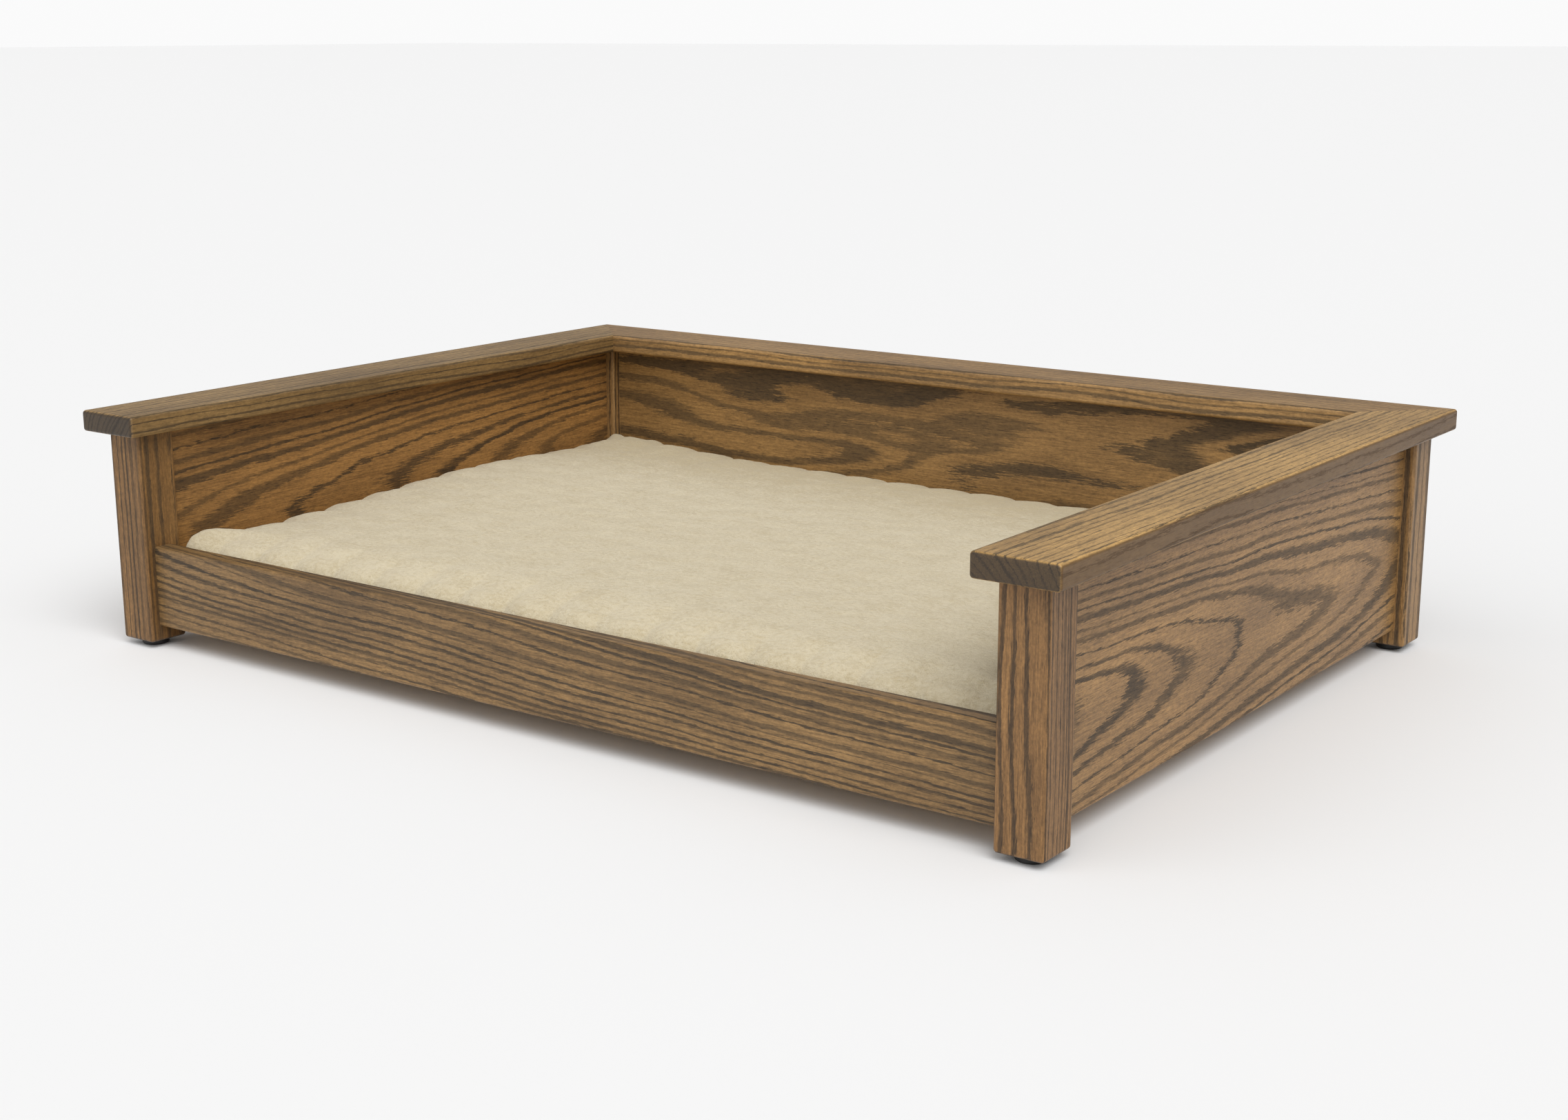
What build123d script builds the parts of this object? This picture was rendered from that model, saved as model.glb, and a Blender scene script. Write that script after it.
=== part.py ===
from build123d import *
import os

# A low oak bed for a dog: four posts on glides, a low front rail, three tall panels, a flat
# cap mitred round the sides and back, and a soft mat that lies on a plywood deck.
# Millimetres. X runs left to right, Y front to back, Z up. The origin is on the floor, in the
# middle of the overall rectangle, and the front is towards -Y.

# Overall
overall_x = 1000.0
overall_y = 720.0
overall_z = 218.0

# Wood sections
board_thick = 19.0
cap_width = 69.0
cap_overhang = 16.0
post_x = 40.0
post_y = 39.0
rail_height = 74.0
ground_gap = 20.5
eased_edge = 3.0
panel_eased_edge = 2.0

# Joinery
tongue_thick = 8.0
tongue_depth = 12.0
tongue_shoulder = 10.0
tongue_below_cap = 27.0
joint_slack = 0.1
dowel_radius = 4.0
dowel_in_frame = 20.0
dowel_in_cap = 12.0
biscuit_length = 47.0
biscuit_width = 15.0
biscuit_thick = 4.0

# Glides and their nails
glide_radius = 12.0
glide_height = 6.0
glide_recess_radius = 5.0
glide_recess_depth = 2.0
nail_radius = 1.3
nail_head_radius = 4.0
nail_head_thick = 1.2
nail_in_post = 16.0

# Deck and the cleats under it
cleat_size = 19.0
cleat_gap = 1.0
cleat_bottom = 22.0
deck_thick = 12.0
deck_clearance = 1.0
cleat_screw_length = 30.0
deck_screw_length = 25.0
screw_radius = 2.0
screw_head_radius = 4.0
screw_tip_length = 5.0

# Mat
mat_wall_clearance = 1.0
mat_deck_clearance = 0.3
mat_top = 101.0
mat_corner = 35.0
mat_top_round = 15.0
base_cloth_thick = 1.5
fleece_thick = 6.0

# Worked out from the sizes above
cap_underside = overall_z - board_thick
rail_top = ground_gap + rail_height
post_centre_x = overall_x / 2 - cap_overhang - post_x / 2
post_centre_y = overall_y / 2 - cap_overhang - post_y / 2
span_x = 2 * post_centre_x - post_x
span_y = 2 * post_centre_y - post_y
inside_x = 2 * post_centre_x - board_thick
inside_y = 2 * post_centre_y - board_thick
cleat_top = cleat_bottom + cleat_size
deck_top = cleat_top + deck_thick
tongue_bottom = ground_gap + tongue_shoulder
sides = {"left": -1, "right": 1}
ends = {"front": -1, "back": 1}

# Cap dowels: one up from each front post, two from each back post, one for each cap board
# that meets there, and a row along the top of each tall panel.
side_dowel_step = 190.0
back_dowel_step = 200.0
dowel_spots = []
for hand in sides.values():
    dowel_spots.append((hand * post_centre_x, -post_centre_y))
    dowel_spots.append((hand * (post_centre_x + 9), post_centre_y - 10.5))
    dowel_spots.append((hand * (post_centre_x - 10), post_centre_y + 8.5))
    for step in (-1, 0, 1):
        dowel_spots.append((hand * post_centre_x, step * side_dowel_step))
for step in (-1.5, -0.5, 0.5, 1.5):
    dowel_spots.append((step * back_dowel_step, post_centre_y))


def save(part, label):
    part.label = label
    export_step(part, f"parts/{label}.step")


# Screws. Each points down from a head that is flush with the surface it is driven into.
def make_screw(length, extra):
    """A countersunk wood screw, or with extra radius the hole that it fills."""
    shank = screw_radius + extra
    head = screw_head_radius + extra
    with BuildPart() as screw:
        with BuildSketch(Plane.XZ):
            with BuildLine():
                Polyline(
                    (0, 0),
                    (head, 0),
                    (shank, -(head - shank)),
                    (shank, screw_tip_length - length),
                    (0, -length - extra),
                    close=True,
                )
            make_face()
        revolve(axis=Axis.Z)
    return screw.part


def cleat_screw_planes():
    """Where the cleats are screwed to the panels, from the inside outwards."""
    middle_z = cleat_bottom + cleat_size / 2
    planes = []
    for hand in sides.values():
        for y in (-220, 0, 220):
            head = (hand * (inside_x / 2 - cleat_size), y, middle_z)
            planes.append(Plane(origin=head, x_dir=(0, 1, 0), z_dir=(-hand, 0, 0)))
    for end in ends.values():
        for x in (-380, -130, 130, 380):
            head = (x, end * (inside_y / 2 - cleat_size), middle_z)
            planes.append(Plane(origin=head, x_dir=(1, 0, 0), z_dir=(0, -end, 0)))
    return planes


def deck_screw_planes():
    """Where the deck is screwed down to the cleats."""
    spots = []
    for hand in sides.values():
        for y in (-120, 120):
            spots.append((hand * (inside_x - cleat_size) / 2, y, deck_top))
    for end in ends.values():
        for x in (-270, 0, 270):
            spots.append((x, end * (inside_y - cleat_size) / 2, deck_top))
    return [Plane(origin=spot) for spot in spots]


cleat_screw = make_screw(cleat_screw_length, 0)
cleat_screw_hole = make_screw(cleat_screw_length, joint_slack)
deck_screw = make_screw(deck_screw_length, 0)
deck_screw_hole = make_screw(deck_screw_length, joint_slack)

with BuildPart() as cleat_screws:
    with Locations(*cleat_screw_planes()):
        add(cleat_screw)
save(cleat_screws.part, "cleat_screws")

with BuildPart() as deck_screws:
    with Locations(*deck_screw_planes()):
        add(deck_screw)
save(deck_screws.part, "deck_screws")


def drill_screw_holes():
    """Cuts every screw's hole from the piece being made."""
    with Locations(*cleat_screw_planes()):
        add(cleat_screw_hole, mode=Mode.SUBTRACT)
    with Locations(*deck_screw_planes()):
        add(deck_screw_hole, mode=Mode.SUBTRACT)


def drill_dowel_holes():
    """Cuts the cap dowels' holes from the piece being made."""
    low = cap_underside - dowel_in_frame
    height = dowel_in_frame + dowel_in_cap
    with Locations(*[(x, y, low - joint_slack) for x, y in dowel_spots]):
        Cylinder(
            dowel_radius + joint_slack,
            height + 2 * joint_slack,
            align=(Align.CENTER, Align.CENTER, Align.MIN),
            mode=Mode.SUBTRACT,
        )


# Glides: a plastic disc with a recess for the nail's head.
def make_glide(x, y):
    with BuildPart(Plane(origin=(x, y, 0))) as glide:
        Cylinder(glide_radius, glide_height, align=(Align.CENTER, Align.CENTER, Align.MIN))
        fillet(glide.edges().group_by(Axis.Z)[0], radius=1.5)
        fillet(glide.edges().group_by(Axis.Z)[-1], radius=0.8)
        with Locations((0, 0, 0)):
            Cylinder(
                glide_recess_radius,
                glide_recess_depth,
                align=(Align.CENTER, Align.CENTER, Align.MIN),
                mode=Mode.SUBTRACT,
            )
            Cylinder(
                nail_radius + joint_slack,
                glide_height,
                align=(Align.CENTER, Align.CENTER, Align.MIN),
                mode=Mode.SUBTRACT,
            )
    return glide.part


for end_name, end in ends.items():
    for side_name, hand in sides.items():
        glide = make_glide(hand * post_centre_x, end * post_centre_y)
        save(glide, f"{end_name}_{side_name}_glide")

nail_spots = [(h * post_centre_x, e * post_centre_y) for h in (-1, 1) for e in (-1, 1)]
nail_bottom = glide_recess_depth - nail_head_thick
with BuildPart() as glide_nails:
    with Locations(*[(x, y, nail_bottom) for x, y in nail_spots]):
        Cylinder(
            nail_head_radius,
            nail_head_thick,
            align=(Align.CENTER, Align.CENTER, Align.MIN),
        )
    with Locations(*[(x, y, glide_recess_depth) for x, y in nail_spots]):
        Cylinder(
            nail_radius,
            glide_height - glide_recess_depth + nail_in_post,
            align=(Align.CENTER, Align.CENTER, Align.MIN),
        )
save(glide_nails.part, "glide_nails")


# Posts: eased all round but for the top, which is under the cap. A post is cut for the tongue
# of each board that meets it, for its cap dowels and for its glide's nail.
def cut_mortise(x, y, along_x, height):
    """A slot for a tongue that enters half of the post at (x, y) from its inner side."""
    reach = 2 * (tongue_depth + joint_slack)
    wide = tongue_thick + 2 * joint_slack
    size = (reach, wide) if along_x else (wide, reach)
    with Locations((x, y, tongue_bottom - joint_slack)):
        Box(
            *size,
            height + 2 * joint_slack,
            align=(Align.CENTER, Align.CENTER, Align.MIN),
            mode=Mode.SUBTRACT,
        )


tall_tongue = cap_underside - tongue_below_cap - tongue_bottom
rail_tongue = rail_height - 2 * tongue_shoulder


def make_post(hand, end):
    x = hand * post_centre_x
    y = end * post_centre_y
    with BuildPart() as post:
        with Locations((x, y, glide_height)):
            Box(
                post_x,
                post_y,
                cap_underside - glide_height,
                align=(Align.CENTER, Align.CENTER, Align.MIN),
            )
        upright = post.edges().filter_by(Axis.Z)
        foot = post.faces().sort_by(Axis.Z)[0].edges()
        fillet(upright + foot, radius=eased_edge)
        cut_mortise(x, y - end * post_y / 2, False, tall_tongue)
        cut_mortise(x - hand * post_x / 2, y, True, tall_tongue if end > 0 else rail_tongue)
        drill_dowel_holes()
        with Locations((x, y, glide_height)):
            Cylinder(
                nail_radius + joint_slack,
                nail_in_post + joint_slack,
                align=(Align.CENTER, Align.CENTER, Align.MIN),
                mode=Mode.SUBTRACT,
            )
    return post.part


for end_name, end in ends.items():
    for side_name, hand in sides.items():
        save(make_post(hand, end), f"{end_name}_{side_name}_post")


# Panels and rail: a board between two posts, with a tongue on each end.
def make_side_panel(hand):
    with BuildPart() as panel:
        with Locations((hand * post_centre_x, 0, ground_gap)):
            Box(
                board_thick,
                span_y,
                cap_underside - ground_gap,
                align=(Align.CENTER, Align.CENTER, Align.MIN),
            )
        bottom = panel.faces().sort_by(Axis.Z)[0]
        fillet(bottom.edges().filter_by(Axis.Y), radius=panel_eased_edge)
        with Locations((hand * post_centre_x, 0, tongue_bottom)):
            Box(
                tongue_thick,
                span_y + 2 * tongue_depth,
                tall_tongue,
                align=(Align.CENTER, Align.CENTER, Align.MIN),
            )
        drill_dowel_holes()
        drill_screw_holes()
    return panel.part


def make_cross_board(end, height, eased, tongue_height):
    """The back panel or the front rail."""
    with BuildPart() as board:
        with Locations((0, end * post_centre_y, ground_gap)):
            Box(
                span_x,
                board_thick,
                height,
                align=(Align.CENTER, Align.CENTER, Align.MIN),
            )
        long_edges = board.edges().filter_by(Axis.X)
        fillet(long_edges.group_by(Axis.Z)[0], radius=panel_eased_edge)
        if eased:
            fillet(board.edges().filter_by(Axis.X).group_by(Axis.Z)[-1], radius=eased_edge)
        with Locations((0, end * post_centre_y, tongue_bottom)):
            Box(
                span_x + 2 * tongue_depth,
                tongue_thick,
                tongue_height,
                align=(Align.CENTER, Align.CENTER, Align.MIN),
            )
        drill_dowel_holes()
        drill_screw_holes()
    return board.part


for side_name, hand in sides.items():
    save(make_side_panel(hand), f"{side_name}_side_panel")
save(make_cross_board(1, cap_underside - ground_gap, False, tall_tongue), "back_panel")
save(make_cross_board(-1, rail_height, True, rail_tongue), "front_rail")


# Caps: flat boards, mitred at the two back corners, with a biscuit across each mitre.
def mitre_plane(hand):
    """The upright plane of a back corner's mitre, facing the side cap."""
    corner = (hand * overall_x / 2, overall_y / 2, 0)
    return Plane(origin=corner, x_dir=(0, 0, 1), z_dir=(hand, -1, 0))


def biscuit_location(hand):
    centre_x = hand * (overall_x - cap_width) / 2
    centre_y = (overall_y - cap_width) / 2
    return Location((centre_x, centre_y, cap_underside + board_thick / 2), (0, 0, hand * 45))


def make_biscuit(extra):
    """A flat oval lozenge: two arcs that meet in points at the ends."""
    half = biscuit_length / 2
    with BuildPart() as biscuit:
        with BuildSketch(Plane.XY.offset(-biscuit_thick / 2 - extra)):
            with BuildLine():
                ThreePointArc((-half, 0), (0, biscuit_width / 2 + extra), (half, 0))
                ThreePointArc((half, 0), (0, -biscuit_width / 2 - extra), (-half, 0))
            make_face()
        extrude(amount=biscuit_thick + 2 * extra)
    return biscuit.part


biscuit = make_biscuit(0)
biscuit_slot = make_biscuit(joint_slack)

with BuildPart() as mitre_biscuits:
    with Locations(biscuit_location(-1), biscuit_location(1)):
        add(biscuit)
save(mitre_biscuits.part, "mitre_biscuits")


def cut_biscuit_slots():
    with Locations(biscuit_location(-1), biscuit_location(1)):
        add(biscuit_slot, mode=Mode.SUBTRACT)


def make_side_cap(hand):
    with BuildPart() as cap:
        with Locations((hand * (overall_x - cap_width) / 2, 0, cap_underside)):
            Box(
                cap_width,
                overall_y,
                board_thick,
                align=(Align.CENTER, Align.CENTER, Align.MIN),
            )
        fillet(cap.edges(), radius=eased_edge)
        split(bisect_by=mitre_plane(hand), keep=Keep.TOP)
        drill_dowel_holes()
        cut_biscuit_slots()
    return cap.part


for side_name, hand in sides.items():
    save(make_side_cap(hand), f"{side_name}_cap")

with BuildPart() as back_cap:
    with Locations((0, (overall_y - cap_width) / 2, cap_underside)):
        Box(
            overall_x,
            cap_width,
            board_thick,
            align=(Align.CENTER, Align.CENTER, Align.MIN),
        )
    fillet(back_cap.edges(), radius=eased_edge)
    split(bisect_by=mitre_plane(-1), keep=Keep.BOTTOM)
    split(bisect_by=mitre_plane(1), keep=Keep.BOTTOM)
    drill_dowel_holes()
    cut_biscuit_slots()
save(back_cap.part, "back_cap")

with BuildPart() as cap_dowels:
    with Locations(*[(x, y, cap_underside - dowel_in_frame) for x, y in dowel_spots]):
        Cylinder(
            dowel_radius,
            dowel_in_frame + dowel_in_cap,
            align=(Align.CENTER, Align.CENTER, Align.MIN),
        )
save(cap_dowels.part, "cap_dowels")


# Cleats: square strips screwed to the inside of the panels and the rail.
def make_cleat(x, y, size_x, size_y):
    with BuildPart() as cleat:
        with Locations((x, y, cleat_bottom)):
            Box(size_x, size_y, cleat_size, align=(Align.CENTER, Align.CENTER, Align.MIN))
        fillet(cleat.edges(), radius=1)
        drill_screw_holes()
    return cleat.part


long_cleat = span_x - 2 * cleat_gap
short_cleat = inside_y - 2 * cleat_size - 2 * cleat_gap
for end_name, end in ends.items():
    cleat = make_cleat(0, end * (inside_y - cleat_size) / 2, long_cleat, cleat_size)
    save(cleat, f"{end_name}_cleat")
for side_name, hand in sides.items():
    cleat = make_cleat(hand * (inside_x - cleat_size) / 2, 0, cleat_size, short_cleat)
    save(cleat, f"{side_name}_cleat")

# Deck: plywood on the cleats, notched round the inner corners of the posts.
notch_x = (inside_x - span_x) / 2
notch_y = (inside_y - span_y) / 2
with BuildPart() as deck_panel:
    with Locations((0, 0, cleat_top)):
        Box(
            inside_x - 2 * deck_clearance,
            inside_y - 2 * deck_clearance,
            deck_thick,
            align=(Align.CENTER, Align.CENTER, Align.MIN),
        )
    with GridLocations(inside_x, inside_y, 2, 2):
        with Locations((0, 0, cleat_top)):
            Box(
                2 * (notch_x + deck_clearance),
                2 * (notch_y + deck_clearance),
                deck_thick,
                align=(Align.CENTER, Align.CENTER, Align.MIN),
                mode=Mode.SUBTRACT,
            )
    drill_screw_holes()
save(deck_panel.part, "deck_panel")

# Mat: a cloth base, a fibre filling and a fleece top that comes down over its sides.
mat_bottom = deck_top + mat_deck_clearance
mat_x = inside_x - 2 * mat_wall_clearance
mat_y = inside_y - 2 * mat_wall_clearance


def make_pad(low, high, inset, top_round):
    """A slab with round corners and a rounded top edge."""
    with BuildPart() as pad:
        with BuildSketch(Plane.XY.offset(low)):
            RectangleRounded(mat_x - 2 * inset, mat_y - 2 * inset, mat_corner - inset)
        extrude(amount=high - low)
        if top_round:
            fillet(pad.faces().sort_by(Axis.Z)[-1].edges(), radius=top_round)
    return pad.part


filling_bottom = mat_bottom + base_cloth_thick
mat_filling = make_pad(
    filling_bottom, mat_top - fleece_thick, fleece_thick, mat_top_round - fleece_thick
)
mat_base_cloth = make_pad(mat_bottom, filling_bottom, 0, 0)
with BuildPart() as mat_fleece_top:
    add(make_pad(filling_bottom, mat_top, 0, mat_top_round))
    add(mat_filling, mode=Mode.SUBTRACT)
save(mat_base_cloth, "mat_base_cloth")
save(mat_filling, "mat_filling")
save(mat_fleece_top.part, "mat_fleece_top")
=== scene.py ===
import math

import bmesh
import bpy
import numpy as np
from mathutils import Matrix, Vector, noise


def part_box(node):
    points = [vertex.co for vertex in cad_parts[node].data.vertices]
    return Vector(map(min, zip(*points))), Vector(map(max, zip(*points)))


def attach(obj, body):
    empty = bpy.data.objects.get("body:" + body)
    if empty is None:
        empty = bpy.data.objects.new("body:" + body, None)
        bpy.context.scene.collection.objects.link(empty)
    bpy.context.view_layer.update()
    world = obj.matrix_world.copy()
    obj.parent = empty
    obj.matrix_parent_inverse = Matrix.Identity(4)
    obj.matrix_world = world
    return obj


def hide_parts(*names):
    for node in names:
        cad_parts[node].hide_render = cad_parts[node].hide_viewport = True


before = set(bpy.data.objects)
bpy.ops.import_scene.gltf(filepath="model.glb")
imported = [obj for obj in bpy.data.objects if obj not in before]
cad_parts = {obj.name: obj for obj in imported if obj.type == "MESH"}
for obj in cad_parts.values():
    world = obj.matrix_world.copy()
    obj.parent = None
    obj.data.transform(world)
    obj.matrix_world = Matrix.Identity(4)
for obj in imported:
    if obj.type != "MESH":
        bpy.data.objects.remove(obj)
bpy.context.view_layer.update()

MM = 0.001
MAT_BODY = "mat"


# ---------------------------------------------------------------- node trees

class Graph:
    """Adds nodes to one tree. Inputs are sockets or plain values."""

    def __init__(self, tree):
        self.tree = tree

    def put(self, socket, value):
        if isinstance(value, bpy.types.NodeSocket):
            self.tree.links.new(value, socket)
        elif value is not None:
            socket.default_value = value

    def node(self, kind, inputs=(), **settings):
        made = self.tree.nodes.new(kind)
        for name, value in settings.items():
            setattr(made, name, value)
        for key, value in dict(inputs).items():
            self.put(made.inputs[key], value)
        return made

    def math(self, operation, a, b=None, c=None, clamp=False):
        made = self.node("ShaderNodeMath", operation=operation, use_clamp=clamp)
        for socket, value in zip(made.inputs, (a, b, c)):
            self.put(socket, value)
        return made.outputs[0]

    def vector(self, operation, a, b=None):
        made = self.node("ShaderNodeVectorMath", operation=operation)
        for socket, value in zip(made.inputs, (a, b)):
            self.put(socket, value)
        return made.outputs["Value" if operation in ("DOT_PRODUCT", "LENGTH") else "Vector"]

    def stretch(self, vector, sizes):
        """Coordinates in which one unit is each of these sizes, as noise wants them."""
        return self.vector("DIVIDE", vector, sizes)

    def noise(self, vector, detail=2.0, roughness=0.5, distortion=0.0):
        """Noise centred on 0, from about -0.5 to 0.5."""
        inputs = {
            "Vector": vector, "Scale": 1.0, "Detail": detail,
            "Roughness": roughness, "Distortion": distortion,
        }
        made = self.node("ShaderNodeTexNoise", inputs, noise_dimensions="3D")
        return self.math("SUBTRACT", made.outputs["Fac"], 0.5)

    def random(self, value):
        """A number from 0 to 1 for each whole value."""
        made = self.node("ShaderNodeTexWhiteNoise", {"W": value}, noise_dimensions="1D")
        return made.outputs["Value"]

    def step(self, value, low, high, to_low=0.0, to_high=1.0):
        """A soft step: to_low up to low, to_high from high on."""
        inputs = {
            "Value": value, "From Min": low, "From Max": high,
            "To Min": to_low, "To Max": to_high,
        }
        made = self.node("ShaderNodeMapRange", inputs, interpolation_type="SMOOTHSTEP")
        return made.outputs["Result"]

    def mix(self, factor, a, b, blend="MIX"):
        """Two colours, mixed. A Mix node has sockets for every type: 6, 7 and 2 are colour."""
        made = self.node("ShaderNodeMix", data_type="RGBA", blend_type=blend)
        self.put(made.inputs["Factor"], factor)
        self.put(made.inputs[6], a)
        self.put(made.inputs[7], b)
        return made.outputs[2]

    def blend(self, factor, a, b):
        """Two numbers, mixed. Sockets 2, 3 and 0 of a Mix node are for numbers."""
        made = self.node("ShaderNodeMix", data_type="FLOAT")
        self.put(made.inputs["Factor"], factor)
        self.put(made.inputs[2], a)
        self.put(made.inputs[3], b)
        return made.outputs[0]

    def grain(self, vector, sizes, **settings):
        """Noise whose lumps have these sizes."""
        return self.noise(self.stretch(vector, sizes), **settings)

    def split(self, vector):
        return self.node("ShaderNodeSeparateXYZ", {"Vector": vector}).outputs


def srgb(red, green, blue):
    """A colour given in 0 to 255 steps, as a linear one."""
    def linear(x):
        x /= 255
        return x / 12.92 if x <= 0.04045 else ((x + 0.055) / 1.055) ** 2.4
    return (linear(red), linear(green), linear(blue), 1.0)


def new_material(name):
    """An empty material, its graph and its Principled shader."""
    material = bpy.data.materials.new(name)
    material.use_nodes = True
    material.node_tree.nodes.clear()
    graph = Graph(material.node_tree)
    shader = graph.node("ShaderNodeBsdfPrincipled")
    output = graph.node("ShaderNodeOutputMaterial")
    material.node_tree.links.new(shader.outputs[0], output.inputs["Surface"])
    return material, graph, shader


def object_mm(graph):
    """Object coordinates in millimetres."""
    coords = graph.node("ShaderNodeTexCoord")
    return graph.vector("MULTIPLY", coords.outputs["Object"], (1000, 1000, 1000))


def bump(graph, shader, height, distance_mm, strength=1.0):
    inputs = {"Height": height, "Distance": distance_mm * MM, "Strength": strength}
    made = graph.node("ShaderNodeBump", inputs)
    graph.put(shader.inputs["Normal"], made.outputs["Normal"])


# ---------------------------------------------------------------- oak

OAK_LIGHT = srgb(167, 129, 80)
OAK_MID = srgb(113, 85, 52)
OAK_DARK = srgb(60, 49, 36)
OAK_PORE = srgb(44, 34, 26)
OAK_END = srgb(44, 36, 29)
OAK_EDGE = srgb(76, 51, 19)

# Sizes of the oak's features in millimetres: along the grain, across the face, out of it
RING_WAVE = (70, 14, 14)
RING_RAG = (16, 1.3, 1.3)
BAND_BLOTCH = (60, 9, 9)
FIBRE = (30, 1.0, 1.0)
PORE = (13, 0.8, 0.8)
GRIT = (4.5, 2.2, 2.2)
TONE = (190, 55, 55)

OAK_GROUP_INPUTS = (
    ("Place", "NodeSocketVector", (0, 0, 0)),
    ("Pith Across", "NodeSocketFloat", 0.0),
    ("Pith Depth", "NodeSocketFloat", 60.0),
    ("Slope", "NodeSocketFloat", 0.0),
    ("Pitch", "NodeSocketFloat", 6.0),
    ("Wander", "NodeSocketFloat", 10.0),
    ("Wander Size", "NodeSocketVector", (230, 75, 75)),
    ("Ragged", "NodeSocketFloat", 0.5),
    ("Band", "NodeSocketFloat", 0.4),
    ("Tone", "NodeSocketFloat", 0.0),
    # The board's staining. On the right cap it is also a painted reflection that lightens the
    # whole board.
    ("Stain", "NodeSocketVector", (1, 1, 1)),
)


def make_oak_group():
    """Stained red oak as growth rings round a pith that lies under the board.
    Place is in millimetres: X along the grain, Y across the face, Z out of it."""
    tree = bpy.data.node_groups.new("stained_oak", "ShaderNodeTree")
    for name, kind, default in OAK_GROUP_INPUTS:
        socket = tree.interface.new_socket(name=name, in_out="INPUT", socket_type=kind)
        socket.default_value = default
    for name, kind in (("Color", "NodeSocketColor"), ("Height", "NodeSocketFloat"),
                       ("Gloss Loss", "NodeSocketFloat")):
        tree.interface.new_socket(name=name, in_out="OUTPUT", socket_type=kind)
    graph = Graph(tree)
    given = graph.node("NodeGroupInput").outputs
    place = given["Place"]

    # Distance from the pith, which wanders along the board.
    swing = graph.grain(place, given["Wander Size"], detail=1.0)
    depth = graph.math("MULTIPLY", swing, given["Wander"])
    depth = graph.math("ADD", depth, given["Pith Depth"])
    split = graph.split(place)
    depth = graph.math("MULTIPLY_ADD", split[0], given["Slope"], depth)
    depth = graph.math("ADD", split[2], depth)
    across = graph.math("SUBTRACT", split[1], given["Pith Across"])
    radius = graph.math(
        "SQRT",
        graph.math("ADD", graph.math("MULTIPLY", depth, depth),
                   graph.math("MULTIPLY", across, across)),
    )
    wave = graph.grain(place, RING_WAVE, detail=2.0)
    wave = graph.math("MULTIPLY", wave, given["Pitch"])
    radius = graph.math("MULTIPLY_ADD", wave, 0.45, radius)

    # Each ring starts with a dark porous band. Bands differ in width and darkness.
    rings = graph.math("DIVIDE", radius, given["Pitch"])
    years = graph.node("ShaderNodeCombineXYZ", {0: graph.math("DIVIDE", rings, 3.0)})
    rings = graph.math("MULTIPLY_ADD", graph.noise(years.outputs[0], detail=1.0), 1.6, rings)
    ragged = graph.grain(place, RING_RAG, detail=3.0, roughness=0.7)
    rings = graph.math("MULTIPLY_ADD", ragged, given["Ragged"], rings)
    ring = graph.math("FLOOR", rings)
    inside = graph.math("FRACT", rings)
    width_pick = graph.random(ring)
    dark_pick = graph.random(graph.math("ADD", ring, 371.0))
    width = graph.math("MULTIPLY", given["Band"], graph.blend(width_pick, 0.55, 1.6))
    start = graph.step(inside, 0.0, 0.07)
    fade = graph.step(graph.math("DIVIDE", inside, width), 0.55, 1.0, 1.0, 0.0)
    band = graph.math("MULTIPLY", start, fade)
    strength = graph.blend(dark_pick, 0.62, 1.0)
    blotch = graph.grain(place, BAND_BLOTCH, detail=2.0)
    strength = graph.math("MULTIPLY", strength, graph.step(blotch, -0.3, 0.0, 0.7, 1.0))
    band = graph.math("MULTIPLY", band, strength)

    # Fibre streaks and open pores that run with the grain.
    fibre = graph.grain(place, FIBRE, detail=3.0, roughness=0.65)
    pore = graph.grain(place, PORE, detail=2.0, roughness=0.6)
    pore = graph.step(pore, 0.03, 0.19)
    pore = graph.math("MULTIPLY", pore, graph.blend(band, 0.5, 1.0))
    grit = graph.grain(place, GRIT, detail=4.0, roughness=0.8)

    # Colour: pale wood, darker towards each ring's end, then its band, pores and the board's
    # staining. On the right cap that multiplier is also a painted reflection, lightening the
    # whole board for the whitish sheen on its top.
    tone = graph.grain(place, TONE, detail=2.0)
    late = graph.math("MULTIPLY_ADD", inside, 0.25, graph.math("MULTIPLY_ADD", tone, 1.3, 0.3))
    late = graph.math("ADD", late, given["Tone"])
    late = graph.math("MULTIPLY_ADD", fibre, 1.8, late, clamp=True)
    color = graph.mix(late, OAK_LIGHT, OAK_MID)
    color = graph.mix(graph.math("MULTIPLY", band, 0.92), color, OAK_DARK)
    color = graph.mix(graph.math("MULTIPLY", pore, 0.8), color, OAK_PORE)
    shade = graph.math("MULTIPLY_ADD", grit, 1.5, 1.0)
    shade = graph.node("ShaderNodeCombineXYZ", {0: shade, 1: shade, 2: shade}).outputs[0]
    # Painted reflection: besides real staining, this multiplier lightens the whole right cap to
    # stand in for the whitish sheen its top shows.
    color = graph.mix(1.0, color, graph.vector("MULTIPLY", shade, given["Stain"]), "MULTIPLY")

    # Height: pores and bands sink, and fibres stand up.
    height = graph.math("MULTIPLY_ADD", pore, -1.0, graph.math("MULTIPLY", band, -0.5))
    height = graph.math("MULTIPLY_ADD", fibre, 0.35, height)
    result = graph.node("NodeGroupOutput")
    graph.put(result.inputs["Color"], color)
    graph.put(result.inputs["Height"], height)
    graph.put(result.inputs["Gloss Loss"], graph.math("ADD", band, pore, clamp=True))
    return tree


oak_group = make_oak_group()

# How a board lies: the axes along its grain, across its face and out of its face
ALONG_X = ("x", "z", "y")
ALONG_Y = ("y", "z", "x")
ALONG_Z = ("z", "x", "y")
FLAT_X = ("x", "y", "z")
FLAT_Y = ("y", "x", "z")


def facing(graph, letter):
    """How squarely a face looks along an axis: 0 for edge on, 1 for square."""
    coords = graph.node("ShaderNodeTexCoord")
    axis = tuple(1.0 if letter == other else 0.0 for other in "xyz")
    return graph.math("ABSOLUTE", graph.vector("DOT_PRODUCT", coords.outputs["Normal"], axis))


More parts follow.
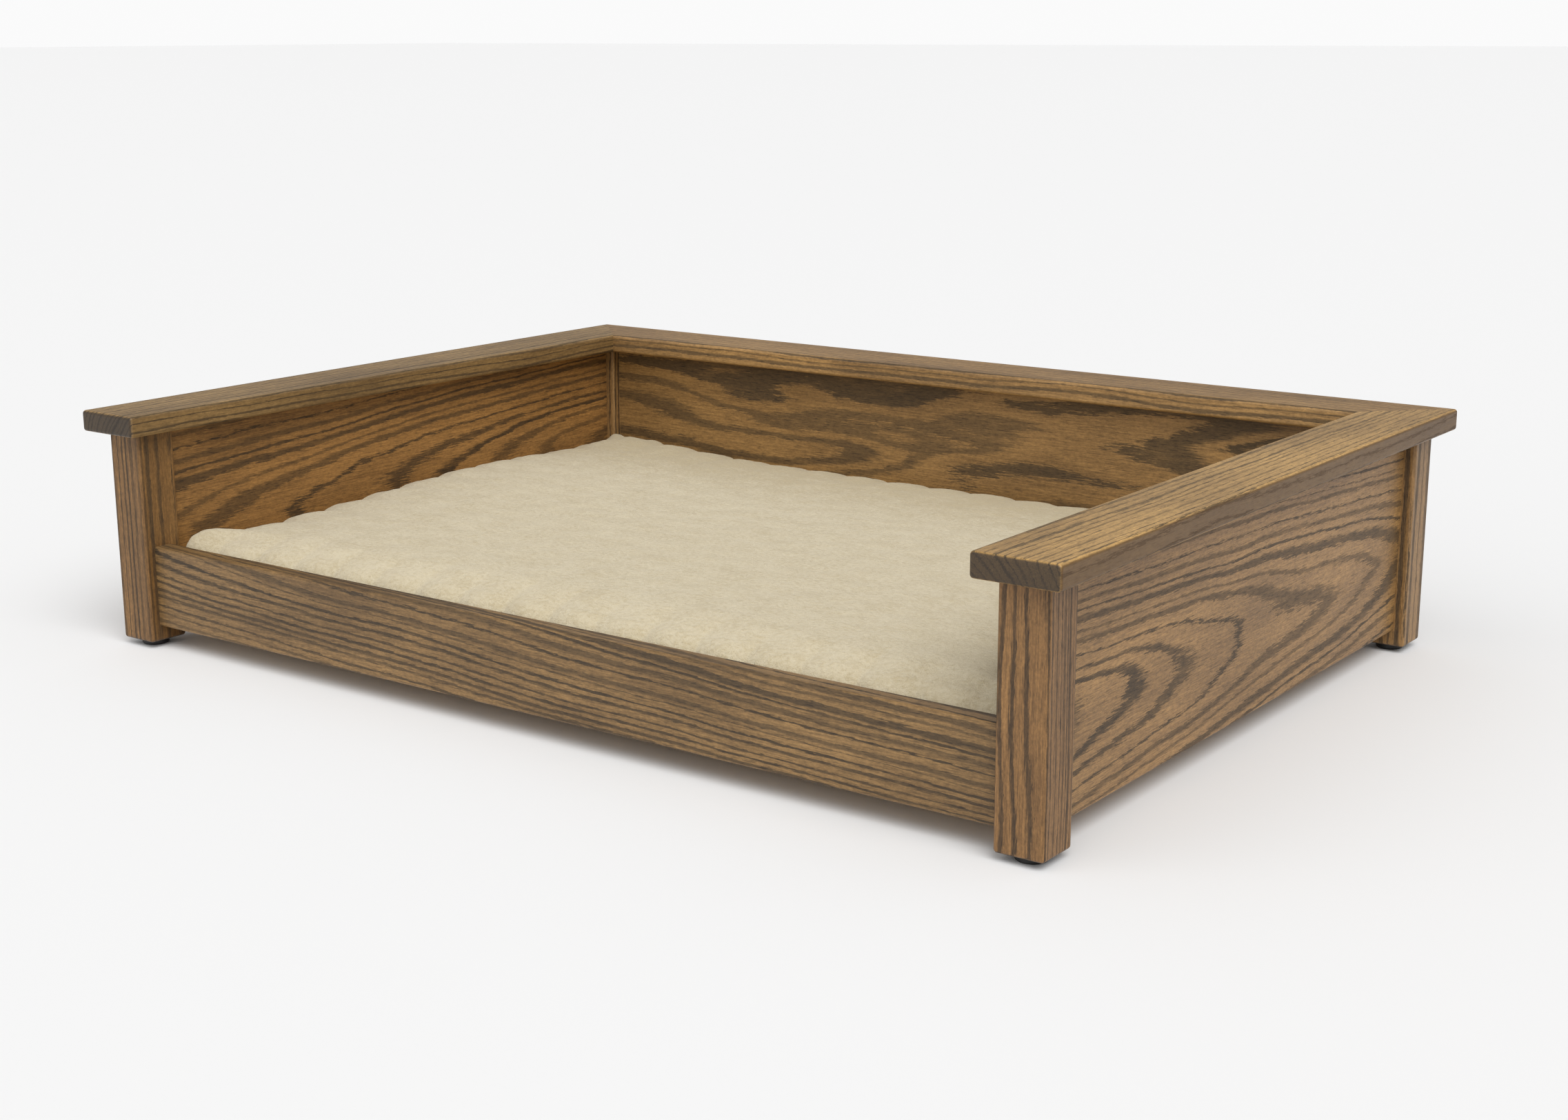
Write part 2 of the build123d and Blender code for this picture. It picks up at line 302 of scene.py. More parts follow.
def oak(name, node, axes, out=1, start=0.0, edge=0.0, **cut):
    """A material for one oak board: its grain axes, the way its face looks, where along
    the log it was cut, how much darker its narrow edges took the staining and how its rings
    lie."""
    material, graph, shader = new_material(name)
    low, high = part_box(node)
    centre = tuple((low + high) / 2 * 1000)
    local = graph.vector("SUBTRACT", object_mm(graph), centre)
    split = graph.split(local)
    pick = {"x": split[0], "y": split[1], "z": split[2]}
    along = graph.math("ADD", pick[axes[0]], start)
    depth = graph.math("MULTIPLY", pick[axes[2]], out)
    place = graph.node("ShaderNodeCombineXYZ", {0: along, 1: pick[axes[1]], 2: depth})
    group = graph.node("ShaderNodeGroup", node_tree=oak_group)
    graph.put(group.inputs["Place"], place.outputs[0])
    for key, value in cut.items():
        group.inputs[key.replace("_", " ").title()].default_value = value

    # The pith slopes about the board's middle, wherever along the log that is.
    group.inputs["Pith Depth"].default_value -= cut.get("slope", 0.0) * start

    # End grain drinks more stain, and so do some boards' narrow edges.
    end_grain = graph.step(facing(graph, axes[0]), 0.4, 0.9, 0.0, 0.88)
    color = graph.mix(end_grain, group.outputs["Color"], OAK_END)
    narrow_edge = graph.step(facing(graph, axes[1]), 0.6, 0.95, 0.0, edge)
    color = graph.mix(narrow_edge, color, OAK_EDGE)
    graph.put(shader.inputs["Base Color"], color)
    dull = graph.math("MULTIPLY_ADD", group.outputs["Gloss Loss"], 0.16, 0.44)
    graph.put(shader.inputs["Roughness"], dull)
    shader.inputs["Specular IOR Level"].default_value = 0.35
    shader.inputs["Coat Weight"].default_value = 0.06
    shader.inputs["Coat Roughness"].default_value = 0.3
    bump(graph, shader, group.outputs["Height"], 0.12, 0.7)
    return material


def dress(node, material):
    """Gives a CAD node its material."""
    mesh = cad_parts[node].data
    mesh.materials.clear()
    mesh.materials.append(material)


# Each board: how it lies, which way its face looks, and its cut. Lengths in millimetres.
BOARDS = {
    "right_side_panel": (ALONG_Y, 1, dict(
        start=300, pith_across=-22, pith_depth=62, slope=0.06, pitch=6.0, wander=13,
        wander_size=(230, 60, 60), band=0.42, ragged=0.8, stain=(1.03, 1.02, 1.0))),
    "left_side_panel": (ALONG_Y, 1, dict(
        start=2600, pith_across=-12, pith_depth=60, slope=-0.07, pitch=6.6, wander=12,
        wander_size=(200, 60, 60), band=0.46, ragged=0.8, stain=(1.12, 1.0, 0.8))),
    "back_panel": (ALONG_X, -1, dict(
        start=3400, pith_across=20, pith_depth=218, slope=0.02, pitch=16, wander=80,
        wander_size=(300, 48, 48), band=0.5, ragged=0.7, stain=(1.1, 1.1, 1.03))),
    "front_rail": (ALONG_X, -1, dict(
        start=5300, pith_across=90, pith_depth=60, slope=-0.07, pitch=5.4, wander=14,
        band=0.58, ragged=0.8, tone=0.15, stain=(0.84, 0.87, 0.9))),
    "front_left_post": (ALONG_Z, -1, dict(
        start=7100, pith_across=40, pith_depth=15, pitch=5.0, wander=8, band=0.5, tone=0.3,
        stain=(1.03, 0.94, 0.78))),
    "front_right_post": (ALONG_Z, -1, dict(
        start=7600, pith_across=32, pith_depth=70, pitch=4.0, wander=12, band=0.5,
        ragged=0.7, tone=0.1, stain=(0.9, 0.83, 0.78))),
    "back_left_post": (ALONG_Z, -1, dict(
        start=8100, pith_across=50, pith_depth=30, pitch=5.0, wander=8, band=0.4)),
    "back_right_post": (ALONG_Z, -1, dict(
        start=8600, pith_across=-50, pith_depth=35, pitch=5.5, wander=8, band=0.4)),
    "left_cap": (FLAT_Y, 1, dict(
        start=9100, pith_across=70, pith_depth=40, pitch=4.6, wander=16, band=0.42, edge=0.35,
        stain=(0.97, 1.05, 1.08))),
    # Painted reflection: the right cap's tint multiplier, near 1.5, is real staining plus a
    # brightening of the whole board. The brightening stands in for the whitish sheen on its top
    # at a grazing angle.
    "right_cap": (FLAT_Y, 1, dict(
        start=10300, pith_across=-65, pith_depth=45, pitch=5.0, wander=20, band=0.32,
        ragged=0.9, edge=0.85, stain=(1.46, 1.54, 1.44))),
    "back_cap": (FLAT_X, 1, dict(
        start=11400, pith_across=-80, pith_depth=40, pitch=4.4, wander=16, band=0.42,
        stain=(1.12, 1.14, 1.12))),
}
for node, (axes, out, cut) in BOARDS.items():
    dress(node, oak(f"oak_{node}", node, axes, out, **cut))


# ---------------------------------------------------------------- hidden wood, metal, plastic

def plain_wood(name, axis, pale, deep, ring_mm):
    """Unfinished wood: soft rings and fibre along one axis."""
    material, graph, shader = new_material(name)
    place = object_mm(graph)
    long_fibre = [1.2, 1.2, 1.2]
    long_fibre["xyz".index(axis)] = 40
    long_ring = [ring_mm] * 3
    long_ring["xyz".index(axis)] = 160
    fibre = graph.grain(place, tuple(long_fibre), detail=3.0)
    rings = graph.grain(place, tuple(long_ring), detail=1.0, distortion=0.4)
    rings = graph.math("SINE", graph.math("MULTIPLY", rings, 26.0))
    mixed = graph.math("MULTIPLY_ADD", rings, 0.28, graph.math("MULTIPLY_ADD", fibre, 0.8, 0.45))
    graph.put(shader.inputs["Base Color"], graph.mix(mixed, pale, deep))
    graph.put(shader.inputs["Roughness"], graph.math("MULTIPLY_ADD", fibre, 0.2, 0.68))
    bump(graph, shader, fibre, 0.15, 0.6)
    return material


PINE_PALE, PINE_DEEP = srgb(226, 194, 146), srgb(190, 146, 94)
PLY_PALE, PLY_DEEP = srgb(214, 183, 138), srgb(178, 140, 96)
BEECH_PALE, BEECH_DEEP = srgb(214, 176, 132), srgb(184, 140, 98)
pine_x = plain_wood("pine_along_x", "x", PINE_PALE, PINE_DEEP, 9)
pine_y = plain_wood("pine_along_y", "y", PINE_PALE, PINE_DEEP, 9)
beech = plain_wood("beech_dowel", "z", BEECH_PALE, BEECH_DEEP, 6)
dress("front_cleat", pine_x)
dress("back_cleat", pine_x)
dress("left_cleat", pine_y)
dress("right_cleat", pine_y)
dress("cap_dowels", beech)
dress("mitre_biscuits", beech)


PLIES = 7


def plywood():
    """Rotary-cut faces, with the plies showing as stripes on the edges."""
    material, graph, shader = new_material("plywood")
    place = object_mm(graph)
    low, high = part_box("deck_panel")
    plies_per_mm = PLIES / ((high.z - low.z) / MM)
    level = graph.math("SUBTRACT", graph.split(place)[2], low.z / MM)
    layer = graph.math("FLOOR", graph.math("MULTIPLY", level, plies_per_mm))
    crossed = graph.math("MODULO", layer, 2.0)
    figure = graph.grain(place, (170, 30, 30), detail=2.0, distortion=0.6)
    figure = graph.math("SINE", graph.math("MULTIPLY", figure, 30.0))
    fibre = graph.grain(place, (35, 1.1, 1.1), detail=3.0)
    mixed = graph.math("MULTIPLY_ADD", figure, 0.2, graph.math("MULTIPLY_ADD", fibre, 0.7, 0.4))
    mixed = graph.math("MULTIPLY_ADD", crossed, 0.45, mixed, clamp=True)
    graph.put(shader.inputs["Base Color"], graph.mix(mixed, PLY_PALE, PLY_DEEP))
    graph.put(shader.inputs["Roughness"], graph.math("MULTIPLY_ADD", fibre, 0.2, 0.62))
    bump(graph, shader, fibre, 0.15, 0.6)
    return material


dress("deck_panel", plywood())


def metal(name, color, dark, roughness):
    """Plated or drawn metal, darker where it is worn."""
    material, graph, shader = new_material(name)
    place = object_mm(graph)
    worn = graph.grain(place, (2.5, 2.5, 2.5), detail=3.0)
    fine = graph.grain(place, (0.3, 0.3, 1.5), detail=2.0)
    factor = graph.math("MULTIPLY_ADD", worn, 1.2, 0.35, clamp=True)
    graph.put(shader.inputs["Base Color"], graph.mix(factor, color, dark))
    graph.put(shader.inputs["Roughness"], graph.math("MULTIPLY_ADD", fine, 0.25, roughness))
    shader.inputs["Metallic"].default_value = 1.0
    bump(graph, shader, fine, 0.02, 0.5)
    return material


zinc = metal("yellow_zinc", srgb(206, 178, 110), srgb(150, 122, 70), 0.32)
dress("cleat_screws", zinc)
dress("deck_screws", zinc)
dress("glide_nails", metal("bright_nail", srgb(190, 190, 192), srgb(120, 118, 116), 0.35))


def moulded_plastic():
    """Black plastic with a fine moulded grain and a paler scuffed face underneath."""
    material, graph, shader = new_material("glide_plastic")
    place = object_mm(graph)
    grain = graph.grain(place, (0.5, 0.5, 0.5), detail=2.0)
    scuff = graph.grain(place, (6, 1.5, 6), detail=3.0)
    low_face = graph.step(graph.split(place)[2], 0.0, 0.8, 0.6, 0.0)
    worn = graph.math("MULTIPLY", graph.step(scuff, -0.1, 0.25), low_face)
    graph.put(shader.inputs["Base Color"], graph.mix(worn, srgb(26, 24, 23), srgb(84, 80, 76)))
    graph.put(shader.inputs["Roughness"], graph.math("MULTIPLY_ADD", grain, 0.2, 0.46))
    bump(graph, shader, grain, 0.04, 0.6)
    return material


glide_plastic = moulded_plastic()
for end in ("front", "back"):
    for side in ("left", "right"):
        dress(f"{end}_{side}_glide", glide_plastic)


# ---------------------------------------------------------------- mat

FLEECE = srgb(211, 198, 168)
# The pile's deeper mottled tone. It is also the colour of the painted shade towards the back of
# the mat.
FLEECE_DEEP_AND_SHADE = srgb(186, 169, 132)


def fleece_material():
    """Cream pile over short tufts. The nap lies in soft brushed areas whose lighter and
    darker colour is partly painted sheen, for the nap catching the light as its direction
    changes. Towards the back the pile is painted a little deeper, as painted shade."""
    material, graph, shader = new_material("cream_fleece")
    place = object_mm(graph)
    # Mottled nap, partly painted sheen: the brushed areas get lighter and darker colour for the
    # way brushed nap catches the light according to its direction.
    patches_and_sheen = graph.grain(place, (34, 22, 22), detail=3.0, roughness=0.6)
    tufts = graph.grain(place, (4.2, 3.0, 3.0), detail=3.0, roughness=0.65)
    pile = graph.grain(place, (0.9, 0.7, 0.7), detail=2.0, roughness=0.7)
    factor = graph.math("MULTIPLY_ADD", patches_and_sheen, 1.1, 0.26)
    factor = graph.math("MULTIPLY_ADD", tufts, 2.2, factor)
    factor = graph.math("MULTIPLY_ADD", pile, 1.6, factor)
    # Painted shade: from 60 mm to 300 mm behind the middle the colour is pushed towards the
    # deeper tone, for the dimmer light at the back of the mat.
    back = graph.step(graph.split(place)[1], 60, 300)
    factor = graph.math("ADD", factor, back)
    graph.put(shader.inputs["Base Color"], graph.mix(factor, FLEECE, FLEECE_DEEP_AND_SHADE))
    graph.put(shader.inputs["Roughness"], graph.math("MULTIPLY_ADD", pile, 0.1, 0.93))
    shader.inputs["Specular IOR Level"].default_value = 0.15
    shader.inputs["Sheen Weight"].default_value = 0.35
    shader.inputs["Sheen Roughness"].default_value = 0.6
    shader.inputs["Sheen Tint"].default_value = (1.0, 0.95, 0.85, 1.0)
    height = graph.math("MULTIPLY_ADD", pile, 0.45, tufts)
    bump(graph, shader, height, 2.2, 0.75)
    return material


def woven_material(name, color, deep, thread_mm):
    """Plain weave: threads that pass over and under each other."""
    material, graph, shader = new_material(name)
    place = object_mm(graph)
    split = graph.split(place)
    turn = math.pi / thread_mm
    warp = graph.math("SINE", graph.math("MULTIPLY", split[0], turn))
    weft = graph.math("SINE", graph.math("MULTIPLY", split[1], turn))
    weave = graph.math("MULTIPLY", warp, weft)
    slub = graph.grain(place, (9, 1.4, 1.4), detail=3.0)
    factor = graph.math("MULTIPLY_ADD", weave, 0.22, graph.math("MULTIPLY_ADD", slub, 0.8, 0.5))
    graph.put(shader.inputs["Base Color"], graph.mix(factor, color, deep))
    graph.put(shader.inputs["Roughness"], graph.math("MULTIPLY_ADD", slub, 0.1, 0.88))
    shader.inputs["Sheen Weight"].default_value = 0.15
    bump(graph, shader, weave, 0.12, 0.6)
    return material


pad_low, pad_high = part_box("mat_fleece_top")
MAT_CORNER = 18 * MM              # radius of the mat's corners in plan
POST_REACH = 12.7 * MM            # how far the mat's corners give way to the posts,
POST_ROUND = 10.7 * MM            # and how softly they bend round them
MAT_GAP = 1.5 * MM                # between the pile and its CAD outline
MAT_WELT = 9 * MM                 # height of the sewn edge above the base
SCALLOP = 51 * MM                 # from one pucker of the edge to the next
VOXEL = 5.5 * MM
WALL_CLEARANCE = 0.3 * MM         # from the CAD outline to the pile where it presses
STUFFING = 5 * MM                 # how far the pressure may move the pile
STUFFING_FRAMES = 20
PLAIN_FRAME = 1

# Swells of the filling: centre x and y, size in x and y in metres, and rise in millimetres
SWELLS = (
    (-0.44, 0.06, 0.20, 0.16, 9),
    (-0.40, 0.30, 0.09, 0.07, 9),
    (-0.455, -0.22, 0.10, 0.10, -2),
    (0.0, 0.0, 0.36, 0.26, 5),
    (0.1, 0.30, 0.22, 0.05, -1),
    (0.40, 0.1, 0.16, 0.2, 3),
)

# Corners: side in x and y, and rise in millimetres
CORNER_RISES = ((-1, -1, 9), (1, -1, 4), (-1, 1, -5), (1, 1, 2))
CORNER_REACH = 50 * MM
EDGE_SAG = 5 * MM                 # how far the edge of the top hangs,
EDGE_SAG_REACH = 9 * MM           # and how far in that reaches
PUCKER_DROP = 13 * MM             # how far down a pucker draws the pile,
PUCKER_DROP_REACH = 34 * MM       # and how far in that reaches
PUCKER_PULL = 7 * MM              # how far in a pucker draws the side,
PUCKER_PULL_REACH = 20 * MM       # and how far in that reaches
FRONT_PUCKERS = 0.5               # depth of the front edge's puckers against the others'
CORNER_PUCKERS = 0.3
LUMPS = (42, 55, 55)              # of the nap, per metre in x, y and z
LUMP_HEIGHT = 0.9 * MM
TUFTS = (210, 260, 260)
TUFT_HEIGHT = 0.4 * MM

CLOTH_THICK = 0.8 * MM
CLOTH_RIPPLES = 30                # per metre
TAPE_STEPS = 1500
TAPE_LOW = 0.5 * MM               # the tape starts this far under the pad,
TAPE_HIGH = 8 * MM                # and ends this far up its side
TAPE_OUT = 0.9 * MM               # from the mat's outline to the middle of the tape
TAPE_HALF_THICK = 0.45 * MM
TAPE_WAVES = 60                   # per metre
TAPE_WAVE_HEIGHT = 0.25 * MM
TAPE_SECTION = ((-1, 0.0), (1, 0.0), (1.2, 0.5), (1, 1.0), (-1, 1.0), (-1.2, 0.5))
STITCHES = 760
STITCH_SPAN = (0.15, 0.78)        # share of each stitch's room that the thread covers
STITCH_OUT = 1.5 * MM
STITCH_LEVEL = 0.45               # how high up the tape the row runs
THREAD_OUT = 0.3 * MM
THREAD_UP = 0.32 * MM
THREAD_SIDES = 6
THREAD_RINGS = ((0.0, 0.35), (0.2, 1.0), (0.8, 1.0), (1.0, 0.35))


def smooth(x, low, high):
    """A soft step from 0 at low to 1 at high."""
    t = np.clip((x - low) / (high - low), 0, 1)
    return t * t * (3 - 2 * t)


def edge_place(points, half_x, half_y, corner):
    """For points in the plane: the distance in from a rounded rectangle's outline, and
    the outward direction."""
    core = np.array([half_x - corner, half_y - corner])
    q = np.abs(points) - core
    outside = np.maximum(q, 0)
    length = np.hypot(outside[:, 0], outside[:, 1])
    inside = corner - length - np.minimum(q.max(axis=1), 0)
    out = np.where(q > 0, q, 0)
    flat = q.max(axis=1) <= 0
    out[flat, 0] = (q[flat, 0] >= q[flat, 1]) * 1.0
    out[flat, 1] = (q[flat, 0] < q[flat, 1]) * 1.0
    out /= np.maximum(np.hypot(out[:, 0], out[:, 1]), 1e-9)[:, None]
    out *= np.where(points < 0, -1, 1)
    return inside, out


def give_way(points, reach):
    """Moves points of the plane off the posts, which stand proud at the mat's corners."""
    corner = np.array([pad_high.x, pad_high.y])
    inside, out = edge_place(corner - np.abs(points), reach, reach, POST_ROUND)
    side = np.where(points < 0, -1, 1)
    return points - side * out * np.maximum(inside, 0)[:, None]


def irregular(number, side):
    """A number from 0 to 1 for each pucker, the same each run but with no pattern."""
    wild = np.sin(number * 12.9898 + side * 78.233) * 43758.5453
    return wild - np.floor(wild)


def pucker_depth(points, out, half_x, half_y, corner):
    """How deep the puckers of the sewn edge are at each point, from 0 to about 1. They
    are evenly spaced, and one falls on each corner."""
    turn = np.arctan2(np.abs(out[:, 1]), np.abs(out[:, 0]))
    on_end = turn < math.pi / 4
    away = np.where(on_end, points[:, 1], points[:, 0])
    straight = np.where(on_end, half_y, half_x) - corner
    bend = corner * np.where(on_end, turn, math.pi / 2 - turn)
    side_half = straight + corner * math.pi / 4
    count = np.round(side_half / SCALLOP)
    phase = (np.minimum(np.abs(away), straight) + bend) / side_half * count
    nearest = np.round(phase)
    on_front = ~on_end & (out[:, 1] < 0)
    which_side = np.round(np.where(on_end, out[:, 0], 2 * out[:, 1]))
    depth = 0.75 + 0.5 * irregular(np.sign(away) * nearest, which_side)
    depth[on_front] *= FRONT_PUCKERS
    depth[nearest == count] = CORNER_PUCKERS
    return np.clip(1 - 2 * np.abs(phase - nearest), 0, 1) ** 2 * depth


def slab(name, half_x, half_y, corner, levels):
    """A closed slab: rings of a rounded rectangle, one for each (inset, height)."""
    mesh = bmesh.new()
    steps = 10
    least_radius = 2 * MM
    rings = []
    for inset, height in levels:
        ring = []
        for turn, (sx, sy) in enumerate(((1, 1), (-1, 1), (-1, -1), (1, -1))):
            centre = Vector((sx * (half_x - corner), sy * (half_y - corner), height))
            for step in range(steps + 1):
                angle = (turn + step / steps) * math.pi / 2
                reach = max(corner - inset, least_radius)
                ring.append(mesh.verts.new(
                    centre + reach * Vector((math.cos(angle), math.sin(angle), 0))))
        rings.append(ring)
    for lower, upper in zip(rings, rings[1:]):
        for i in range(len(lower)):
            j = (i + 1) % len(lower)
            mesh.faces.new((lower[i], lower[j], upper[j], upper[i]))
    mesh.faces.new(list(reversed(rings[0])))
    mesh.faces.new(rings[-1])
    data = bpy.data.meshes.new(name)
    mesh.to_mesh(data)
    mesh.free()
    made = bpy.data.objects.new(name, data)
    bpy.context.scene.collection.objects.link(made)
    return made


def apply_modifiers(piece):
    """Makes a piece's shape, as its modifiers give it, its own mesh."""
    graph = bpy.context.evaluated_depsgraph_get()
    data = bpy.data.meshes.new_from_object(piece.evaluated_get(graph))
    old = piece.data
    piece.modifiers.clear()
    piece.data = data
    bpy.data.meshes.remove(old)


def coords_of(piece):
    co = np.zeros(len(piece.data.vertices) * 3)
    piece.data.vertices.foreach_get("co", co)
    return co.reshape(-1, 3)


def set_coords(piece, co):
    piece.data.vertices.foreach_set("co", co.astype(np.float32).ravel())
    piece.data.update()


def stuff(piece):
    """Cloth simulation: pressure plumps the pad, and no point moves further than STUFFING."""
    before = coords_of(piece)
    cloth = piece.modifiers.new("Cloth", "CLOTH")
    settings = cloth.settings
    settings.quality = 5
    settings.mass = 0.3
    settings.tension_stiffness = 18
    settings.compression_stiffness = 18
    settings.shear_stiffness = 6
    settings.bending_stiffness = 0.6
    settings.use_pressure = True
    settings.uniform_pressure_force = 4.0
    settings.effector_weights.gravity = 0.0
    cloth.collision_settings.use_collision = False
    low = before[:, 2].min()
    held = piece.vertex_groups.new(name="held")
    held.add([int(i) for i in np.nonzero(before[:, 2] < low + MAT_WELT)[0]], 1.0, "REPLACE")
    settings.vertex_group_mass = "held"
    cloth.point_cache.frame_start = PLAIN_FRAME
    cloth.point_cache.frame_end = STUFFING_FRAMES
    scene = bpy.context.scene
    for number in range(PLAIN_FRAME, STUFFING_FRAMES + 1):
        scene.frame_set(number)
    apply_modifiers(piece)
    scene.frame_set(PLAIN_FRAME)
    move = coords_of(piece) - before
    reach = np.linalg.norm(move, axis=1)
    move *= (np.minimum(reach, STUFFING) / np.maximum(reach, 1e-9))[:, None]
    set_coords(piece, before + move)


def mat_surface(co):
    """Puckers, swells and nap on the stuffed pad's points."""
    half_x, half_y = pad_high.x, pad_high.y
    base, top = pad_low.z, pad_high.z
    inside, out = edge_place(co[:, :2], half_x, half_y, MAT_CORNER)
    upper = smooth(co[:, 2], base + 12 * MM, top - 10 * MM)

    # Fuller towards the middle, and where the mat rides up a wall
    swell = np.zeros(len(co))
    for x, y, size_x, size_y, rise in SWELLS:
        gap = ((co[:, 0] - x) / size_x) ** 2 + ((co[:, 1] - y) / size_y) ** 2
        swell += rise * MM * np.exp(-gap)
    co[:, 2] += (swell - EDGE_SAG * np.exp(-inside / EDGE_SAG_REACH)) * upper

    # The front corners are stuffed full, and the back left one is slack.
    body = smooth(co[:, 2], base + 8 * MM, base + 30 * MM)
    for side_x, side_y, rise in CORNER_RISES:
        gap = np.hypot(co[:, 0] - side_x * half_x, co[:, 1] - side_y * half_y)
        co[:, 2] += rise * MM * np.exp(-(gap / CORNER_REACH) ** 2) * body

    # Puckers: the sewn edge draws the pile in and down at each one.
    notch = pucker_depth(co[:, :2], out, half_x, half_y, MAT_CORNER)
    inner = np.maximum(inside, 0)
    co[:, 2] -= PUCKER_DROP * notch * np.exp(-inner / PUCKER_DROP_REACH) * upper
    pull = PUCKER_PULL * notch * np.exp(-inner / PUCKER_PULL_REACH)
    co[:, :2] -= out * pull[:, None]

    # Nap: soft lumps with finer tufts on them
    for i, (place, share) in enumerate(zip(co.copy(), upper)):
        lump = noise.noise(Vector(place * LUMPS))
        tuft = noise.noise(Vector(place * TUFTS))
        co[i, 2] += (LUMP_HEIGHT * lump + TUFT_HEIGHT * tuft) * share
    return clear_of_frame(co)


def clear_of_frame(co):
    """Flattens the mat where it presses on the panels, and hollows it at the posts."""
    half_x, half_y = pad_high.x - WALL_CLEARANCE, pad_high.y - WALL_CLEARANCE
    inside, out = edge_place(co[:, :2], half_x, half_y, MAT_CORNER)
    over = np.maximum(-inside, 0)
    co[:, :2] -= out * over[:, None]
    co[:, :2] = give_way(co[:, :2], POST_REACH)
    return co


def make_mat():
    """The stuffed pad: a slab, blown up, then puckered and fitted between the panels."""
    base, top = pad_low.z, pad_high.z
    half_x, half_y = pad_high.x - MAT_GAP, pad_high.y - MAT_GAP
    levels = (
        (9 * MM, base), (2 * MM, base + 3 * MM), (0, base + MAT_WELT),
        (0, base + 26 * MM), (2 * MM, top - 14 * MM), (7 * MM, top - 7 * MM),
        (15 * MM, top - 3 * MM), (22 * MM, top - 2 * MM),
    )
    piece = slab("mat_fleece", half_x, half_y, MAT_CORNER, levels)
    remesh = piece.modifiers.new("Remesh", "REMESH")
    remesh.mode = "VOXEL"
    remesh.voxel_size = VOXEL
    apply_modifiers(piece)
    stuff(piece)
    finer = piece.modifiers.new("Subdivision", "SUBSURF")
    finer.levels = finer.render_levels = 1
    apply_modifiers(piece)
    set_coords(piece, mat_surface(coords_of(piece)))
    for polygon in piece.data.polygons:
        polygon.use_smooth = True
    piece.data.materials.clear()
    piece.data.materials.append(fleece_material())
    return piece


def make_base(mat, material):
    """The base cloth: it covers the flat underside of the pad."""
    cloth_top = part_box("mat_base_cloth")[1].z
    mesh = bmesh.new()
    mesh.from_mesh(mat.data)
    low_enough = pad_low.z + 3 * MM
    facing_down = -0.75
    upper = [
        face for face in mesh.faces
        if face.normal.z > facing_down or face.calc_center_median().z > low_enough
    ]
    bmesh.ops.delete(mesh, geom=upper, context="FACES")
    for vert in mesh.verts:
        ripple = noise.noise(Vector((vert.co.x * CLOTH_RIPPLES, vert.co.y * CLOTH_RIPPLES, 3.0)))
        vert.co.z = cloth_top - (0.35 + 0.25 * ripple) * MM
    data = bpy.data.meshes.new("mat_base")
    mesh.to_mesh(data)
    mesh.free()
    piece = bpy.data.objects.new("mat_base", data)
    bpy.context.scene.collection.objects.link(piece)
    cloth = piece.modifiers.new("Thickness", "SOLIDIFY")
    cloth.thickness = CLOTH_THICK
    cloth.offset = 1.0
    apply_modifiers(piece)
    for polygon in piece.data.polygons:
        polygon.use_smooth = True
    piece.data.materials.clear()
    piece.data.materials.append(material)
    return piece


def cloth_size(piece):
    """Width and length of a flat cloth, from its own points."""
    span = coords_of(piece)
    return tuple(span[:, :2].max(axis=0) - span[:, :2].min(axis=0))


def off_post(centre, out, inset):
    """The outline's point in direction out from a centre, moved off the posts."""
    point = centre + out * (MAT_CORNER - inset)
    moved = give_way(np.array([[point.x, point.y]]), POST_REACH + inset)[0]
    return Vector((moved[0], moved[1], 0))


def outline_point(share, inset):
    """A point and its outward direction on the mat's rounded outline."""
    half_x = pad_high.x - MAT_GAP
    half_y = pad_high.y - MAT_GAP
    run_x, run_y = 2 * (half_x - MAT_CORNER), 2 * (half_y - MAT_CORNER)
    arc = MAT_CORNER * math.pi / 2
    walk = share * (2 * run_x + 2 * run_y + 4 * arc)
    corner_x, corner_y = half_x - MAT_CORNER, half_y - MAT_CORNER
    starts = ((corner_x, -corner_y, 0), (corner_x, corner_y, 1),
              (-corner_x, corner_y, 2), (-corner_x, -corner_y, 3))
    for x, y, turn in starts:
        run = run_y if turn % 2 == 0 else run_x
        angle = turn * math.pi / 2
        out = Vector((math.cos(angle), math.sin(angle), 0))
        forward = Vector((-out.y, out.x, 0))
        if walk <= run:
            return off_post(Vector((x, y, 0)) + forward * walk, out, inset), out
        walk -= run
        if walk <= arc or turn == 3:
            angle += walk / MAT_CORNER
            out = Vector((math.cos(angle), math.sin(angle), 0))
            return off_post(Vector((x, y, 0)) + forward * run, out, inset), out
        walk -= arc


def tape_mesh(low, high):
    """Points and faces of the tape: one closed band round the whole mat."""
    count = len(TAPE_SECTION)
    points, faces = [], []
    for i in range(TAPE_STEPS):
        place, out = outline_point(i / TAPE_STEPS, -TAPE_OUT)
        wave = noise.noise(Vector((place.x * TAPE_WAVES, place.y * TAPE_WAVES, 0)))
        wave *= TAPE_WAVE_HEIGHT
        for across, up in TAPE_SECTION:
            spot = place + out * (wave + across * TAPE_HALF_THICK)
            points.append((spot.x, spot.y, low + (high - low) * up + wave * 2))
        following = (i + 1) % TAPE_STEPS
        for k in range(count):
            j = (k + 1) % count
            faces.append((i * count + k, following * count + k,
                          following * count + j, i * count + j))
    return points, faces


